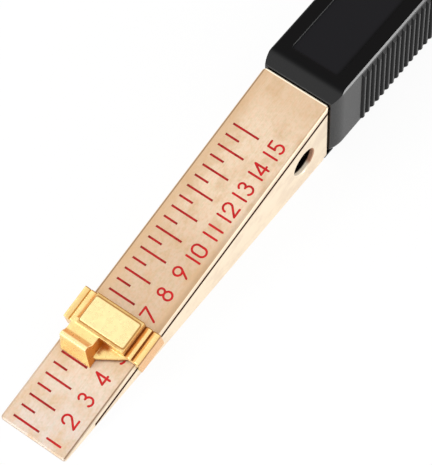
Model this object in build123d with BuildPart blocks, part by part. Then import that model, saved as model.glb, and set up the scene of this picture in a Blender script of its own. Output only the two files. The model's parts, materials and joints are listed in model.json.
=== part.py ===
from build123d import *
from math import asin, cos, radians, sin, tan
import os

# A wedge gauge that reads a gap's width from 1 to 15 mm, with a sliding cursor and a moulded grip.
# Lengths are in millimetres and angles in degrees. X runs from the thin tip to the grip,
# Y goes across and Z is up. The origin is under the middle of the gauge, on its flat bottom.

# Wedge and its scale: each line stands where the wedge is one step thicker
scale_pitch = 5.0
mark_step = 1.0
first_mark = 1
last_mark = 15
blade_width = 15.4
blade_length = 83.0
tip_thickness = 0.65
tip_corner_radius = 0.6
shoulder_corner_radius = 0.8
face_bevel = 0.25

# Engraving, filled with enamel
engraving_depth = 0.12
enamel_drop = 0.02
enamel_side_gap = 0.01
mark_stroke = 0.46
marks_left_end = 5.8
whole_mark_length = 6.1
half_mark_length = 3.2
numeral_lag = 0.1
one_digit_centre_y = -3.85
two_digit_centre_y = -4.15
numeral_width = 1.85
numeral_height = 3.1
numeral_stroke = 0.46
two_digit_spacing = 2.05
one_one_spacing = 1.9
one_four_spacing = 1.7
small_bowl = 0.68
two_neck_angle = -46.0
three_tip_angle = 150.0
three_sweep = 240.0
five_neck_angle = 130.0
five_sweep = 270.0
five_bar_end = 0.72
six_neck_angle = 155.0
six_tail_end = 0.3
seven_foot = 0.63

# Grooves that guide the cursor
groove_drop = 1.9
groove_width = 0.6
groove_depth = 1.0
groove_start = 12.25
cutter_overhang = 1.0

# Cross hole for a cord
cord_hole_diameter = 6.2
cord_hole_from_shoulder = 8.0
cord_hole_height = 7.45
cord_hole_bevel = 0.25

# Tang inside the grip
tang_length = 38.0
tang_half_width = 6.3
tang_bottom = 1.7
tang_top = 15.9
tang_bevel = 0.6

# Cursor: distances run back from its reading edge, and heights from the scale face
reading_at_rest = 4.05
cursor_length = 12.3
cursor_body_start = 5.2
cursor_side_gap = 0.12
cursor_roof_gap = 0.12
cursor_wall_right = 0.95
cursor_wall_left = 1.3
rail_top = 2.2
skirt_depth = 2.45
lip_gap = 0.08
lip_start = 7.35
block_right = 5.25
block_left = 5.75
block_top = 3.6
inner_groove_width = 0.3
outer_groove_right = 6.88
outer_groove_left = 7.6
outer_groove_width = 0.32
cursor_groove_depth = 0.6
rail_slope_width = 0.65
rail_slope_fall = 0.28
rail_edge_radius = 0.3
panel_start = 5.75
panel_length = 5.95
panel_edge = 0.15
panel_rise = 0.3
panel_corner_radius = 0.5
panel_draft = 30.0

# Cursor tongue, which carries the reading edge and the thumb ridge
reading_edge_height = 0.25
tongue_base_right = -0.85
tongue_base_left = 6.2
tongue_crest_right = 0.6
tongue_crest_left = 6.75
crest_start = 1.55
crest_end = 2.35
crest_height = 4.3
crest_radius = 0.3
plate_start = 3.4
plate_top = 3.5
tongue_overlap = 1.0
web_height = 1.3
web_front = 1.9
web_corner = 4.3
web_corner_y = -4.7
web_end_y = -5.9
web_bevel = 0.3

# Leaf spring under the cursor's roof
spring_pocket_height = 1.0
spring_pocket_start = 6.0
spring_pocket_length = 5.6
spring_pocket_width = 5.0
spring_end_gap = 0.2
spring_side_gap = 0.25
spring_thickness = 0.15
spring_rub_gap = 0.03

# Grip
grip_gap = 0.2
grip_length = 52.0
grip_half_width = 8.7
grip_shoulder_height = 19.1
grip_top_slope = 1.0
mouth_half_width = 7.8
mouth_drop = 1.3
mouth_edge_radius = 0.3
nose_side_length = 3.4
nose_top_length = 3.3
nose_roll_radius = 6.0
panel_front_border = 5.6
panel_rear_border = 7.5
panel_half_width = 5.5
panel_drop = 0.3
panel_corner = 0.6
panel_rim_bevel = 0.14
grip_bottom_radius = 2.2
grip_edge_bevel = 0.32
grip_rear_radius = 5.0
lip_reach = 1.35
lip_thickness = 0.45
tang_gap = 0.05
rib_pitch = 1.65
rib_count = 22
first_rib = 9.8
rib_radius = 0.75
rib_rise = 0.42
rib_foot = 2.2
rib_head_drop = 0.95
rib_head_length = 1.2

# Countersunk screw that holds the grip on the tang
screw_from_tang_end = 18.0
screw_diameter = 3.0
screw_head_diameter = 5.6
screw_length = 9.0
screw_sink = 0.1
screw_gap = 0.03
recess_arm_length = 3.0
recess_arm_width = 0.6
recess_depth = 0.9

# Places that follow from the sizes above
taper = asin(mark_step / scale_pitch)
tip_from_apex = tip_thickness / tan(taper)
shoulder_from_apex = tip_from_apex + blade_length
rear_from_apex = shoulder_from_apex + grip_gap + grip_length
apex_x = -(tip_from_apex + rear_from_apex) / 2
tip_x = apex_x + tip_from_apex
shoulder_x = apex_x + shoulder_from_apex
shoulder_height = shoulder_from_apex * tan(taper)
screw_x = shoulder_x + tang_length - screw_from_tang_end
blade_half = blade_width / 2
face_length = shoulder_from_apex / cos(taper)

face_dir = (cos(taper), 0, sin(taper))
face_up = (-sin(taper), 0, cos(taper))


def on_face(distance):
    """Point on the scale face's centre line, by its distance from the wedge's apex."""
    return (apex_x + distance * cos(taper), 0, distance * sin(taper))


def face_plane(distance, height=0.0):
    """Plane parallel to the scale face: local x runs up the scale and local y across it."""
    return Plane(origin=on_face(distance), x_dir=face_dir, z_dir=face_up).offset(height)


def across_plane(distance):
    """Plane square to the scale: local x runs across and local y up from the face."""
    return Plane(origin=on_face(distance), x_dir=(0, 1, 0), z_dir=face_dir)


def side_plane(distance):
    """Upright plane along the scale: local x runs up the scale and local y up from the face."""
    return Plane(origin=on_face(distance), x_dir=face_dir, z_dir=(0, -1, 0))


# Numerals are drawn as strokes about the centre of each digit
half_w = numeral_width / 2
half_h = numeral_height / 2
large_bowl = half_h - small_bowl


def on_circle(centre, radius, angle):
    """Point on a circle, by its angle."""
    return (centre[0] + radius * cos(radians(angle)), centre[1] + radius * sin(radians(angle)))


def stroke(*points, width):
    """Round-ended stroke through a few points."""
    with BuildLine(mode=Mode.PRIVATE) as path:
        Polyline(*points)
    return SlotArc(path.wire(), width, mode=Mode.PRIVATE)


def bowl(centre, radius, start, sweep, width):
    """Round-ended stroke along part of a circle."""
    with BuildLine(mode=Mode.PRIVATE) as path:
        CenterArc(centre, radius, start, sweep)
    return SlotArc(path.wire(), width, mode=Mode.PRIVATE)


def loop(centre, radius, width):
    """Closed round stroke."""
    with BuildSketch(mode=Mode.PRIVATE) as ring:
        with Locations(centre):
            Circle(radius + width / 2)
            Circle(radius - width / 2, mode=Mode.SUBTRACT)
    return ring.sketch


def digit_strokes(digit, width):
    """Strokes of one digit, as a list of faces."""
    upper = (0, half_h - small_bowl)
    lower = (0, large_bowl - half_h)
    if digit == "0":
        with BuildSketch(mode=Mode.PRIVATE) as oval:
            SlotOverall(numeral_height + width, numeral_width + width, rotation=90)
            SlotOverall(numeral_height - width, numeral_width - width, rotation=90, mode=Mode.SUBTRACT)
        return [oval.sketch]
    if digit == "1":
        return [stroke((0, -half_h), (0, half_h), width=width)]
    if digit == "2":
        top = (0, half_h - half_w)
        return [
            bowl(top, half_w, 180, two_neck_angle - 180, width),
            stroke(on_circle(top, half_w, two_neck_angle), (-half_w, -half_h), width=width),
            stroke((-half_w, -half_h), (half_w, -half_h), width=width),
        ]
    if digit == "3":
        return [
            bowl(upper, small_bowl, three_tip_angle, -three_sweep, width),
            bowl(lower, large_bowl, 90, -three_sweep, width),
        ]
    if digit == "4":
        stem = half_w / 2
        bar = -half_h / 2
        return [
            stroke((stem, -half_h), (stem, half_h), width=width),
            stroke((stem, half_h), (-half_w, bar), width=width),
            stroke((-half_w, bar), (half_w, bar), width=width),
        ]
    if digit == "5":
        neck = on_circle(lower, large_bowl, five_neck_angle)
        return [
            stroke((five_bar_end, half_h), (neck[0], half_h), width=width),
            stroke((neck[0], half_h), neck, width=width),
            bowl(lower, large_bowl, five_neck_angle, -five_sweep, width),
        ]
    if digit == "6":
        neck = on_circle(lower, large_bowl, six_neck_angle)
        return [loop(lower, large_bowl, width), stroke(neck, (six_tail_end, half_h), width=width)]
    if digit == "7":
        return [
            stroke((-half_w, half_h), (half_w, half_h), width=width),
            stroke((half_w, half_h), (-seven_foot, -half_h), width=width),
        ]
    if digit == "8":
        return [loop(upper, small_bowl, width), loop(lower, large_bowl, width)]
    # A nine is a six turned half round
    head = (0, half_h - large_bowl)
    neck = on_circle(head, large_bowl, six_neck_angle - 180)
    return [loop(head, large_bowl, width), stroke(neck, (-six_tail_end, -half_h), width=width)]


def numerals(width):
    """All numerals of the scale, laid out on a flat drawing of the face."""
    with BuildSketch(mode=Mode.PRIVATE) as drawing:
        for mark in range(first_mark, last_mark + 1):
            digits = str(mark)
            centres = [0.0]
            centre_y = one_digit_centre_y
            if len(digits) == 2:
                spacing = {"11": one_one_spacing, "14": one_four_spacing}.get(digits, two_digit_spacing)
                last_half = 0 if digits[1] == "1" else half_w
                centre_y = two_digit_centre_y
                first_centre = -(spacing + last_half) / 2
                centres = [first_centre, first_centre + spacing]
            for digit, centre in zip(digits, centres):
                strokes = digit_strokes(digit, width)
                with Locations((mark * scale_pitch - numeral_lag + centre, centre_y)):
                    add(strokes)
    return drawing.sketch


def marks(length, width, offset):
    """One straight mark for each millimetre of the scale."""
    count = last_mark - first_mark + (1 if offset == 0 else 0)
    with BuildSketch(mode=Mode.PRIVATE) as drawing:
        with Locations([
            ((first_mark + offset + i) * scale_pitch, marks_left_end - length / 2) for i in range(count)
        ]):
            Rectangle(width, length)
    return drawing.sketch


def engraved(gap):
    """The three drawings of the scale, with each stroke thinner by a gap on both sides."""
    return {
        "scale_lines_whole": marks(whole_mark_length - 2 * gap, mark_stroke - 2 * gap, 0),
        "scale_lines_half": marks(half_mark_length - 2 * gap, mark_stroke - 2 * gap, 0.5),
        "scale_numerals": numerals(numeral_stroke - 2 * gap),
    }


# Blade: a ground brass wedge with its tang
with BuildPart() as blade:
    with BuildSketch(Plane.XZ):
        with BuildLine():
            Polyline(
                (tip_x, 0), (shoulder_x, 0), (shoulder_x, shoulder_height), (tip_x, tip_thickness),
                close=True,
            )
        make_face()
    extrude(amount=blade_half, both=True)
    fillet(blade.edges().filter_by(Axis.Z).group_by(Axis.X)[0], tip_corner_radius)
    fillet(blade.edges().filter_by(Axis.Z).group_by(Axis.X)[-1], shoulder_corner_radius)
    scale_face = blade.faces().sort_by(Axis(on_face(0), face_up))[-1]
    chamfer(scale_face.edges(), face_bevel)

    groove_reach = groove_depth + cutter_overhang
    with BuildSketch(across_plane(groove_start)):
        with Locations(
            (blade_half - groove_depth + groove_reach / 2, -groove_drop),
            (groove_depth - blade_half - groove_reach / 2, -groove_drop),
        ):
            Rectangle(groove_reach, groove_width)
    extrude(amount=face_length, mode=Mode.SUBTRACT)

    with BuildSketch(Plane.XZ):
        with Locations((shoulder_x - lip_reach / 2, 0)):
            Rectangle(lip_reach + 2 * grip_gap, 2 * (lip_thickness + tang_gap))
    extrude(amount=blade_half, both=True, mode=Mode.SUBTRACT)

    with BuildSketch(Plane.XZ):
        with Locations((shoulder_x - cord_hole_from_shoulder, cord_hole_height)):
            Circle(cord_hole_diameter / 2)
    extrude(amount=blade_half, both=True, mode=Mode.SUBTRACT)
    chamfer(blade.edges(Select.LAST).filter_by(GeomType.CIRCLE), cord_hole_bevel)

    with BuildSketch(Plane.YZ.offset(shoulder_x)):
        with Locations((0, (tang_bottom + tang_top) / 2)):
            Rectangle(2 * tang_half_width, tang_top - tang_bottom)
    extrude(amount=tang_length)
    chamfer(blade.faces().sort_by(Axis.X)[-1].edges(), tang_bevel)
    with BuildSketch(Plane.XY.offset(tang_bottom)):
        with Locations((screw_x, 0)):
            Circle(screw_diameter / 2 + screw_gap)
    extrude(amount=screw_length, mode=Mode.SUBTRACT)

    with BuildSketch(face_plane(0)):
        for drawing in engraved(0).values():
            add(drawing)
    extrude(amount=-engraving_depth, mode=Mode.SUBTRACT)
blade.part.label = "blade"

# Enamel in the engraving, one piece for each kind of mark
enamels = []
for label, drawing in engraved(enamel_side_gap).items():
    with BuildPart() as enamel:
        with BuildSketch(face_plane(0, -engraving_depth)):
            add(drawing)
        extrude(amount=engraving_depth - enamel_drop)
    enamel.part.label = label
    enamels.append(enamel)

# Cursor: its reading edge's distance from the apex, and the sizes that follow from the blade
cursor_at = reading_at_rest * scale_pitch
channel_half = blade_half + cursor_side_gap
right_half = channel_half + cursor_wall_right
left_half = channel_half + cursor_wall_left
lip_inner = blade_half - groove_depth + cursor_side_gap
lip_root = channel_half + cursor_wall_right / 2
lip_height = groove_width - 2 * lip_gap
body_length = cursor_length - cursor_body_start
cursor_groove_floor = rail_top - cursor_groove_depth
tongue_depth = cursor_body_start + tongue_overlap

# The tongue is a ridge across the scale, cut to a slanting outline
with BuildPart() as tongue:
    with BuildSketch(side_plane(cursor_at)):
        with BuildLine():
            Polyline(
                (0, cursor_roof_gap), (0, reading_edge_height), (crest_start, crest_height),
                (crest_end, crest_height), (plate_start, plate_top), (tongue_depth, plate_top),
                (tongue_depth, cursor_roof_gap),
                close=True,
            )
        make_face()
    extrude(amount=left_half, both=True)
    crest_edges = tongue.edges().filter_by(Axis.Y).sort_by(Axis(on_face(0), face_up))[-2:]
    fillet(crest_edges, crest_radius)
    with BuildSketch(across_plane(cursor_at)):
        with BuildLine():
            Polyline(
                (tongue_base_right, 0), (tongue_base_left, 0), (tongue_crest_left, crest_height),
                (tongue_crest_right, crest_height),
                close=True,
            )
        make_face()
    extrude(amount=tongue_depth, mode=Mode.INTERSECT)

# The web joins the tongue's foot to the cursor's right rail
with BuildPart() as web:
    with BuildSketch(face_plane(cursor_at, cursor_roof_gap)):
        with BuildLine():
            Polyline(
                (web_front, tongue_base_right), (web_corner, web_corner_y),
                (cursor_body_start, web_end_y), (tongue_depth, web_end_y),
                (tongue_depth, tongue_crest_right), (web_front, tongue_crest_right),
                close=True,
            )
        make_face()
    extrude(amount=web_height - cursor_roof_gap)
    web_top = web.faces().sort_by(Axis(on_face(0), face_up))[-1]
    chamfer(web_top.edges().sort_by(Axis.Y)[1:3], web_bevel)

# Cursor: a die-cast saddle that rides on the blade, with its tongue and web
with BuildPart() as slider:
    with BuildSketch(across_plane(cursor_at + cursor_body_start)):
        for side, block_edge, outer_groove, outer_half in (
            (-1, block_right, outer_groove_right, right_half),
            (1, block_left, outer_groove_left, left_half),
        ):
            inner_end = block_edge + inner_groove_width
            outer_end = outer_groove + outer_groove_width
            with BuildLine():
                Polyline(
                    (0, block_top), (side * block_edge, block_top),
                    (side * block_edge, cursor_groove_floor), (side * inner_end, cursor_groove_floor),
                    (side * inner_end, rail_top - rail_slope_fall),
                    (side * (inner_end + rail_slope_width), rail_top),
                    (side * outer_groove, rail_top), (side * outer_groove, cursor_groove_floor),
                    (side * outer_end, cursor_groove_floor),
                    (side * outer_end, rail_top - rail_slope_fall),
                    (side * (outer_end + rail_slope_width), rail_top),
                    (side * outer_half, rail_top), (side * outer_half, -skirt_depth),
                    (side * channel_half, -skirt_depth), (side * channel_half, cursor_roof_gap),
                    (0, cursor_roof_gap),
                    close=True,
                )
            make_face()
    extrude(amount=body_length)
    for side_edges in (
        slider.edges().filter_by(Axis(on_face(0), face_dir)).group_by(Axis.Y)[0],
        slider.edges().filter_by(Axis(on_face(0), face_dir)).group_by(Axis.Y)[-1],
    ):
        fillet(side_edges.sort_by(Axis(on_face(0), face_up))[-1], rail_edge_radius)

    with BuildSketch(across_plane(cursor_at + lip_start)):
        with Locations(
            ((lip_inner + lip_root) / 2, -groove_drop), (-(lip_inner + lip_root) / 2, -groove_drop),
        ):
            Rectangle(lip_root - lip_inner, lip_height)
    extrude(amount=cursor_length - lip_start)

    add(tongue.part)
    add(web.part)

    with BuildSketch(face_plane(cursor_at + panel_start + panel_length / 2, block_top)):
        with Locations((0, (block_left - block_right) / 2)):
            RectangleRounded(
                panel_length, block_left + block_right - 2 * panel_edge, panel_corner_radius)
    extrude(amount=panel_rise, taper=panel_draft)

    with BuildSketch(face_plane(cursor_at + spring_pocket_start + spring_pocket_length / 2)):
        Rectangle(spring_pocket_length, spring_pocket_width)
    extrude(amount=spring_pocket_height, mode=Mode.SUBTRACT)
slider.part.label = "slider"

# Bowed leaf spring that presses on the scale face and holds the cursor where it is set
spring_middle = spring_pocket_start + spring_pocket_length / 2
spring_half = spring_pocket_length / 2 - spring_end_gap
spring_end_height = spring_pocket_height - spring_thickness - spring_rub_gap
with BuildPart() as slider_spring:
    with BuildSketch(side_plane(cursor_at + spring_middle)):
        with BuildLine():
            under = ThreePointArc(
                (-spring_half, spring_end_height), (0, spring_rub_gap), (spring_half, spring_end_height)
            )
            over = ThreePointArc(
                (-spring_half, spring_end_height + spring_thickness),
                (0, spring_rub_gap + spring_thickness),
                (spring_half, spring_end_height + spring_thickness),
            )
            Line(under @ 0, over @ 0)
            Line(under @ 1, over @ 1)
        make_face()
    extrude(amount=spring_pocket_width / 2 - spring_side_gap, both=True)
slider_spring.part.label = "slider_spring"

# Grip: places that follow from the blade and the grip's own sizes
grip_x = shoulder_x + grip_gap
grip_rear = grip_x + grip_length
ramp_x = grip_x + nose_top_length
top_fall = tan(radians(grip_top_slope))
top_up = (top_fall, 0, 1)
rear_height = grip_shoulder_height - (grip_rear - ramp_x) * top_fall
top_plane = Plane(origin=(ramp_x, 0, grip_shoulder_height), x_dir=(1, 0, -top_fall), z_dir=top_up)
top_section = Plane(origin=(ramp_x, 0, grip_shoulder_height), x_dir=(0, 1, 0), z_dir=(1, 0, -top_fall))

# Ribs for the fingers, upright half rounds on both sides, which run out below the grip's top edges
rib_y = grip_half_width + rib_rise - rib_radius
with BuildPart() as ribs:
    with BuildSketch(Plane.XY.offset(rib_foot)):
        with Locations([
            (grip_x + first_rib + i * rib_pitch, side * rib_y)
            for side in (-1, 1) for i in range(rib_count)
        ]):
            Circle(rib_radius)
    extrude(amount=grip_shoulder_height)
    with BuildSketch(top_section):
        with BuildLine():
            Polyline(
                (0, -rib_head_drop), (grip_half_width, -rib_head_drop),
                (grip_half_width + 2 * rib_rise, -rib_head_drop - 2 * rib_head_length),
                (grip_half_width + 2 * rib_rise, -2 * grip_shoulder_height),
                (0, -2 * grip_shoulder_height),
            )
            mirror(about=Plane.YZ)
        make_face()
    extrude(amount=grip_length, both=True, mode=Mode.INTERSECT)

# Grip: a moulded handle with a framed panel on top, pushed over the tang
with BuildPart() as handle:
    with BuildSketch(Plane.XZ):
        with BuildLine():
            Polyline(
                (grip_x, 0), (grip_rear, 0), (grip_rear, rear_height), (ramp_x, grip_shoulder_height),
                (grip_x, grip_shoulder_height - mouth_drop),
                close=True,
            )
        make_face()
        fillet(vertices().group_by(Axis.X)[-1].sort_by(Axis.Y)[-1], grip_rear_radius)
        fillet(vertices().sort_by(Axis.Y)[-1], nose_roll_radius)
        fillet(vertices().group_by(Axis.X)[0].sort_by(Axis.Y)[-1], mouth_edge_radius)
    extrude(amount=grip_half_width, both=True)
    with BuildSketch(Plane.XY):
        with BuildLine():
            nose = TangentArc(
                (grip_x + nose_side_length, grip_half_width), (grip_x, mouth_half_width), tangent=(-1, 0)
            )
            Line(nose @ 1, (grip_x, 0))
            Polyline(nose @ 0, (grip_rear, grip_half_width), (grip_rear, 0))
            mirror(about=Plane.XZ)
        make_face()
        fillet(vertices().group_by(Axis.X)[-1], grip_rear_radius)
    extrude(amount=grip_shoulder_height, mode=Mode.INTERSECT)
    fillet(handle.faces().sort_by(Axis.Z)[0].edges().sort_by(Axis.X)[1:], grip_bottom_radius)

    with BuildSketch(top_section):
        with BuildLine():
            Polyline(
                (0, 0), (grip_half_width - grip_edge_bevel, 0), (grip_half_width, -grip_edge_bevel),
                (grip_half_width, -2 * grip_shoulder_height), (0, -2 * grip_shoulder_height),
            )
            mirror(about=Plane.YZ)
        make_face()
    extrude(amount=grip_length, both=True, mode=Mode.INTERSECT)

    panel_start_x = panel_front_border - nose_top_length
    panel_end_x = grip_length - panel_rear_border - nose_top_length
    with BuildSketch(top_plane):
        with Locations(((panel_start_x + panel_end_x) / 2, 0)):
            RectangleRounded(panel_end_x - panel_start_x, 2 * panel_half_width, panel_corner)
    extrude(amount=-panel_drop, mode=Mode.SUBTRACT)
    panel_rim = handle.edges(Select.LAST).group_by(Axis((0, 0, 0), top_up))[-1]
    chamfer(panel_rim, panel_rim_bevel)

    with BuildSketch(Plane.XZ):
        with Locations((grip_x - lip_reach, 0)):
            Rectangle(2 * lip_reach, lip_thickness, align=(Align.MIN, Align.MIN))
    extrude(amount=blade_half, both=True)
    add(ribs.part)

    with BuildSketch(Plane.YZ.offset(grip_x)):
        with Locations((0, (tang_bottom + tang_top) / 2)):
            Rectangle(2 * (tang_half_width + tang_gap), tang_top - tang_bottom + 2 * tang_gap)
    extrude(amount=tang_length - grip_gap + tang_gap, mode=Mode.SUBTRACT)
    with Locations(Plane(origin=(screw_x, 0, 0), z_dir=(0, 0, -1))):
        CounterSinkHole(
            radius=screw_diameter / 2 + screw_gap,
            counter_sink_radius=screw_head_diameter / 2 + screw_sink + screw_gap,
            depth=tang_bottom,
            counter_sink_angle=90,
        )
handle.part.label = "handle"

# Countersunk screw, driven up through the grip's floor into the tang
head_radius = screw_head_diameter / 2
neck = screw_sink + head_radius - screw_diameter / 2
with BuildPart() as handle_screw:
    with BuildSketch(Plane.XZ):
        with BuildLine():
            Polyline(
                (screw_x, screw_sink), (screw_x + head_radius, screw_sink),
                (screw_x + screw_diameter / 2, neck),
                (screw_x + screw_diameter / 2, screw_length), (screw_x, screw_length),
                close=True,
            )
        make_face()
    revolve(axis=Axis((screw_x, 0, 0), (0, 0, 1)))
    with BuildSketch(Plane.XY.offset(screw_sink)):
        with Locations((screw_x, 0)):
            Rectangle(recess_arm_length, recess_arm_width)
            Rectangle(recess_arm_width, recess_arm_length)
    extrude(amount=recess_depth, mode=Mode.SUBTRACT)
handle_screw.part.label = "handle_screw"

os.makedirs("parts", exist_ok=True)
for piece in [blade, *enamels, slider, slider_spring, handle, handle_screw]:
    export_step(piece.part, f"parts/{piece.part.label}.step")
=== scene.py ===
import json
from math import atan2, cos, radians, sin
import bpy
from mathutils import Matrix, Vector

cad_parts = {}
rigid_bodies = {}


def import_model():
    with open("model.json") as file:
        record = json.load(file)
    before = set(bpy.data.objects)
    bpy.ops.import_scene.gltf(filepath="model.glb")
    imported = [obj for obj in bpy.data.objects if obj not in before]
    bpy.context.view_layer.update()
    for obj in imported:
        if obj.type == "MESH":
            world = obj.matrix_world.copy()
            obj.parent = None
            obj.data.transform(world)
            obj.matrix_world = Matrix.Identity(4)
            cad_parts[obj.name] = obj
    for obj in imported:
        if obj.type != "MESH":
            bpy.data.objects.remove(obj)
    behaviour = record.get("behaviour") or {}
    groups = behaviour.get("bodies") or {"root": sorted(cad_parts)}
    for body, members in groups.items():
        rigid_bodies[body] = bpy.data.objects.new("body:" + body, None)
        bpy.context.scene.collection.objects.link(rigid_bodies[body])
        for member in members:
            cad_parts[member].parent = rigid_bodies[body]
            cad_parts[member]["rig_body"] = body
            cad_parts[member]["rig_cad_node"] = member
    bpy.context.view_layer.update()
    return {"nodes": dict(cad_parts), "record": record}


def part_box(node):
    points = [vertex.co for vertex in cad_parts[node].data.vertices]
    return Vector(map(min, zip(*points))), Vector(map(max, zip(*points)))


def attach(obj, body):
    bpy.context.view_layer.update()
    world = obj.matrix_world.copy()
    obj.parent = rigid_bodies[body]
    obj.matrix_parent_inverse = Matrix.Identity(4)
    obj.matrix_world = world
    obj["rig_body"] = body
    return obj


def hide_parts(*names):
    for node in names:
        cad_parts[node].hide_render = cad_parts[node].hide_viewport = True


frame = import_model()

from types import SimpleNamespace

import bpy
from bpy.props import FloatProperty, FloatVectorProperty, PointerProperty
from mathutils import Quaternion, Vector

bl_info = {
    "name": "Taper Gauge",
    "version": (1, 0, 0),
    "blender": (4, 5, 0),
    "location": "3D View > Sidebar > Gauge",
    "description": "Finishes a brass taper gauge with its cast cursor and moulded grip",
    "category": "Object",
}

MM = 0.001

# Places that follow from the CAD. The slide runs up the scale face, which rises with the wedge.
blade_low, blade_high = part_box("blade")
cursor_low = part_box("slider")[0]
grip_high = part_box("handle")[1]
slide = Vector(frame["record"]["behaviour"]["joints"][0]["axis"]).normalized()
taper = atan2(slide.z, slide.x)
face_up = Vector((-slide.z, 0.0, slide.x))
blade_corners = [corner.co for corner in frame["nodes"]["blade"].data.vertices]
face_level = max(corner @ face_up for corner in blade_corners)
cursor_places = [corner.co @ slide for corner in frame["nodes"]["slider"].data.vertices]
cursor_start, cursor_end = min(cursor_places), max(cursor_places)
cord_hole = next(mount for mount in frame["record"]["mounts"] if mount["name"] == "cord_hole")
hole_place = Vector(cord_hole["pos_m"])
hole_radius = cord_hole["dims"]["r_mm"] * MM

# The tang stays within this of the middle, so the corners beyond it end at the shoulder
TANG_CLEAR = 7 * MM
shoulder_x = max(corner.x for corner in blade_corners if corner.y < -TANG_CLEAR)

# Ranges over which one look gives way to another: across the gauge at its middle, at the cursor's
# left outer groove and at the blade's side faces, and down from the scale face at its top edges
MIDDLE = (-1 * MM, 1 * MM)
LEFT_GROOVE = (7.2 * MM, 7.4 * MM)
SIDE_FACE = (blade_high.y - 0.12 * MM, blade_high.y - 0.04 * MM)
TOP_EDGE = (0.2 * MM, 0.3 * MM)


# Colours and sizes that a user would change


def linear(red, green, blue):
    """Colour for a node, from its display values of 0 to 255."""
    return tuple(
        value / 255 / 12.92 if value <= 10 else ((value / 255 + 0.055) / 1.055) ** 2.4
        for value in (red, green, blue)
    )


def colour(name, description, *display):
    """Colour property whose default is given in display values of 0 to 255."""
    return FloatVectorProperty(
        name=name, description=description, default=linear(*display),
        min=0.0, max=1.0, size=3, subtype="COLOR",
    )


def length(name, description, default):
    """Length property in metres."""
    return FloatProperty(
        name=name, description=description, default=default, min=0.0, precision=5,
        unit="LENGTH", subtype="DISTANCE",
    )


def angle(name, description, degrees):
    """Angle property whose default is given in degrees."""
    return FloatProperty(
        name=name, description=description, default=radians(degrees), subtype="ANGLE", unit="ROTATION",
    )


def share(name, description, default):
    """Property from 0 to 1."""
    return FloatProperty(
        name=name, description=description, default=default, min=0.0, max=1.0, subtype="FACTOR",
    )


def watts(name, description, default):
    """Power property of a light."""
    return FloatProperty(name=name, description=description, default=default, min=0.0, unit="POWER")


def point(name, description, *metres):
    """Property of a place in the shared frame."""
    return FloatVectorProperty(
        name=name, description=description, default=metres, size=3,
        subtype="TRANSLATION", unit="LENGTH",
    )


class GaugeBrassLook(bpy.types.PropertyGroup):
    """Ground brass of the blade."""

    face: colour("Brass", "Colour of the ground brass", 234, 211, 187)
    tip: colour("Thin end", "Colour towards the thin end", 214, 200, 191)
    handled: colour("Handled brass", "Deeper colour of the middle, which fingers touch", 212, 185, 160)
    margin: colour("Margins", "Golden colour along the long edges", 208, 172, 133)
    # Painted light: the side faces are painted paler than the scale face.
    side: colour("Sides", "Paler colour of the side faces", 255, 238, 212)
    tarnish: colour("Tarnish", "Colour of fine streaks and clouds", 206, 172, 134)
    blush: colour("Blush", "Pinkish tint of faint spots", 255, 247, 242)
    grey: colour("Grey", "Greenish grey tint of faint specks", 243, 248, 240)
    # The pale edges are worn on the numerals' side and a painted highlight at the end by the grip.
    polished: colour("Polished edge", "Pale colour of the worn edges", 255, 242, 218)
    # Painted shade: the brown line along the long edges.
    edge: colour("Edge line", "Brown line along the long edges", 130, 102, 76)
    # Painted shade: the dark brown of the side grooves and of close walls.
    groove_shade: colour("Groove dirt", "Oil and dirt in the grooves", 72, 36, 12)
    # Painted light and shade in the cross hole: a dark inside, a half-shaded side towards the grip and a lit
    # mouth.
    bore_shading: colour("Bore", "Colour deep inside the cross hole", 10, 4, 2)
    bore_half_shade: colour("Bore side", "Colour of the cross hole's wall towards the grip", 196, 150, 124)
    bore_lit_mouth: colour("Bore mouth", "Pale colour of the cross hole's wall near its mouth", 255, 240, 218)
    lit_mouth_depth: length("Bore mouth depth", "Depth of the cross hole's pale mouth", 0.75 * MM)
    lit_mouth_fade: length("Bore mouth fade", "Length over which the mouth darkens", 0.3 * MM)
    tip_reach: length("Thin end reach", "Length over which the thin end's colour fades", 30 * MM)
    handled_start: length("Handled start", "Distance from the thin end to the handled middle", 24 * MM)
    handled_end: length("Handled end", "Distance from the thin end to its other end", 50 * MM)
    handled_fade: length("Handled fade", "Length over which the handled colour comes and goes", 16 * MM)
    near_line: length("Near line", "Length of the brown line on the numerals' side", 16 * MM)
    groove_start: length("Groove start", "Distance from the thin end to the side grooves' ends", 9.1 * MM)
    # How near two walls stand where shade is painted between them.
    groove_shade_reach: length("Dirt reach", "How near two walls are where dirt settles", 0.9 * MM)
    metal: share("Metal", "How metallic the ground faces look under their haze", 0.68)
    sheen: share("Sheen", "Strength of the white reflection that lies over the colour", 0.03)
    roughness: share("Roughness", "Roughness of the ground faces", 0.36)
    streak_depth: length("Grinding marks", "Depth of the grinding marks", 0.0015 * MM)


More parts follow.
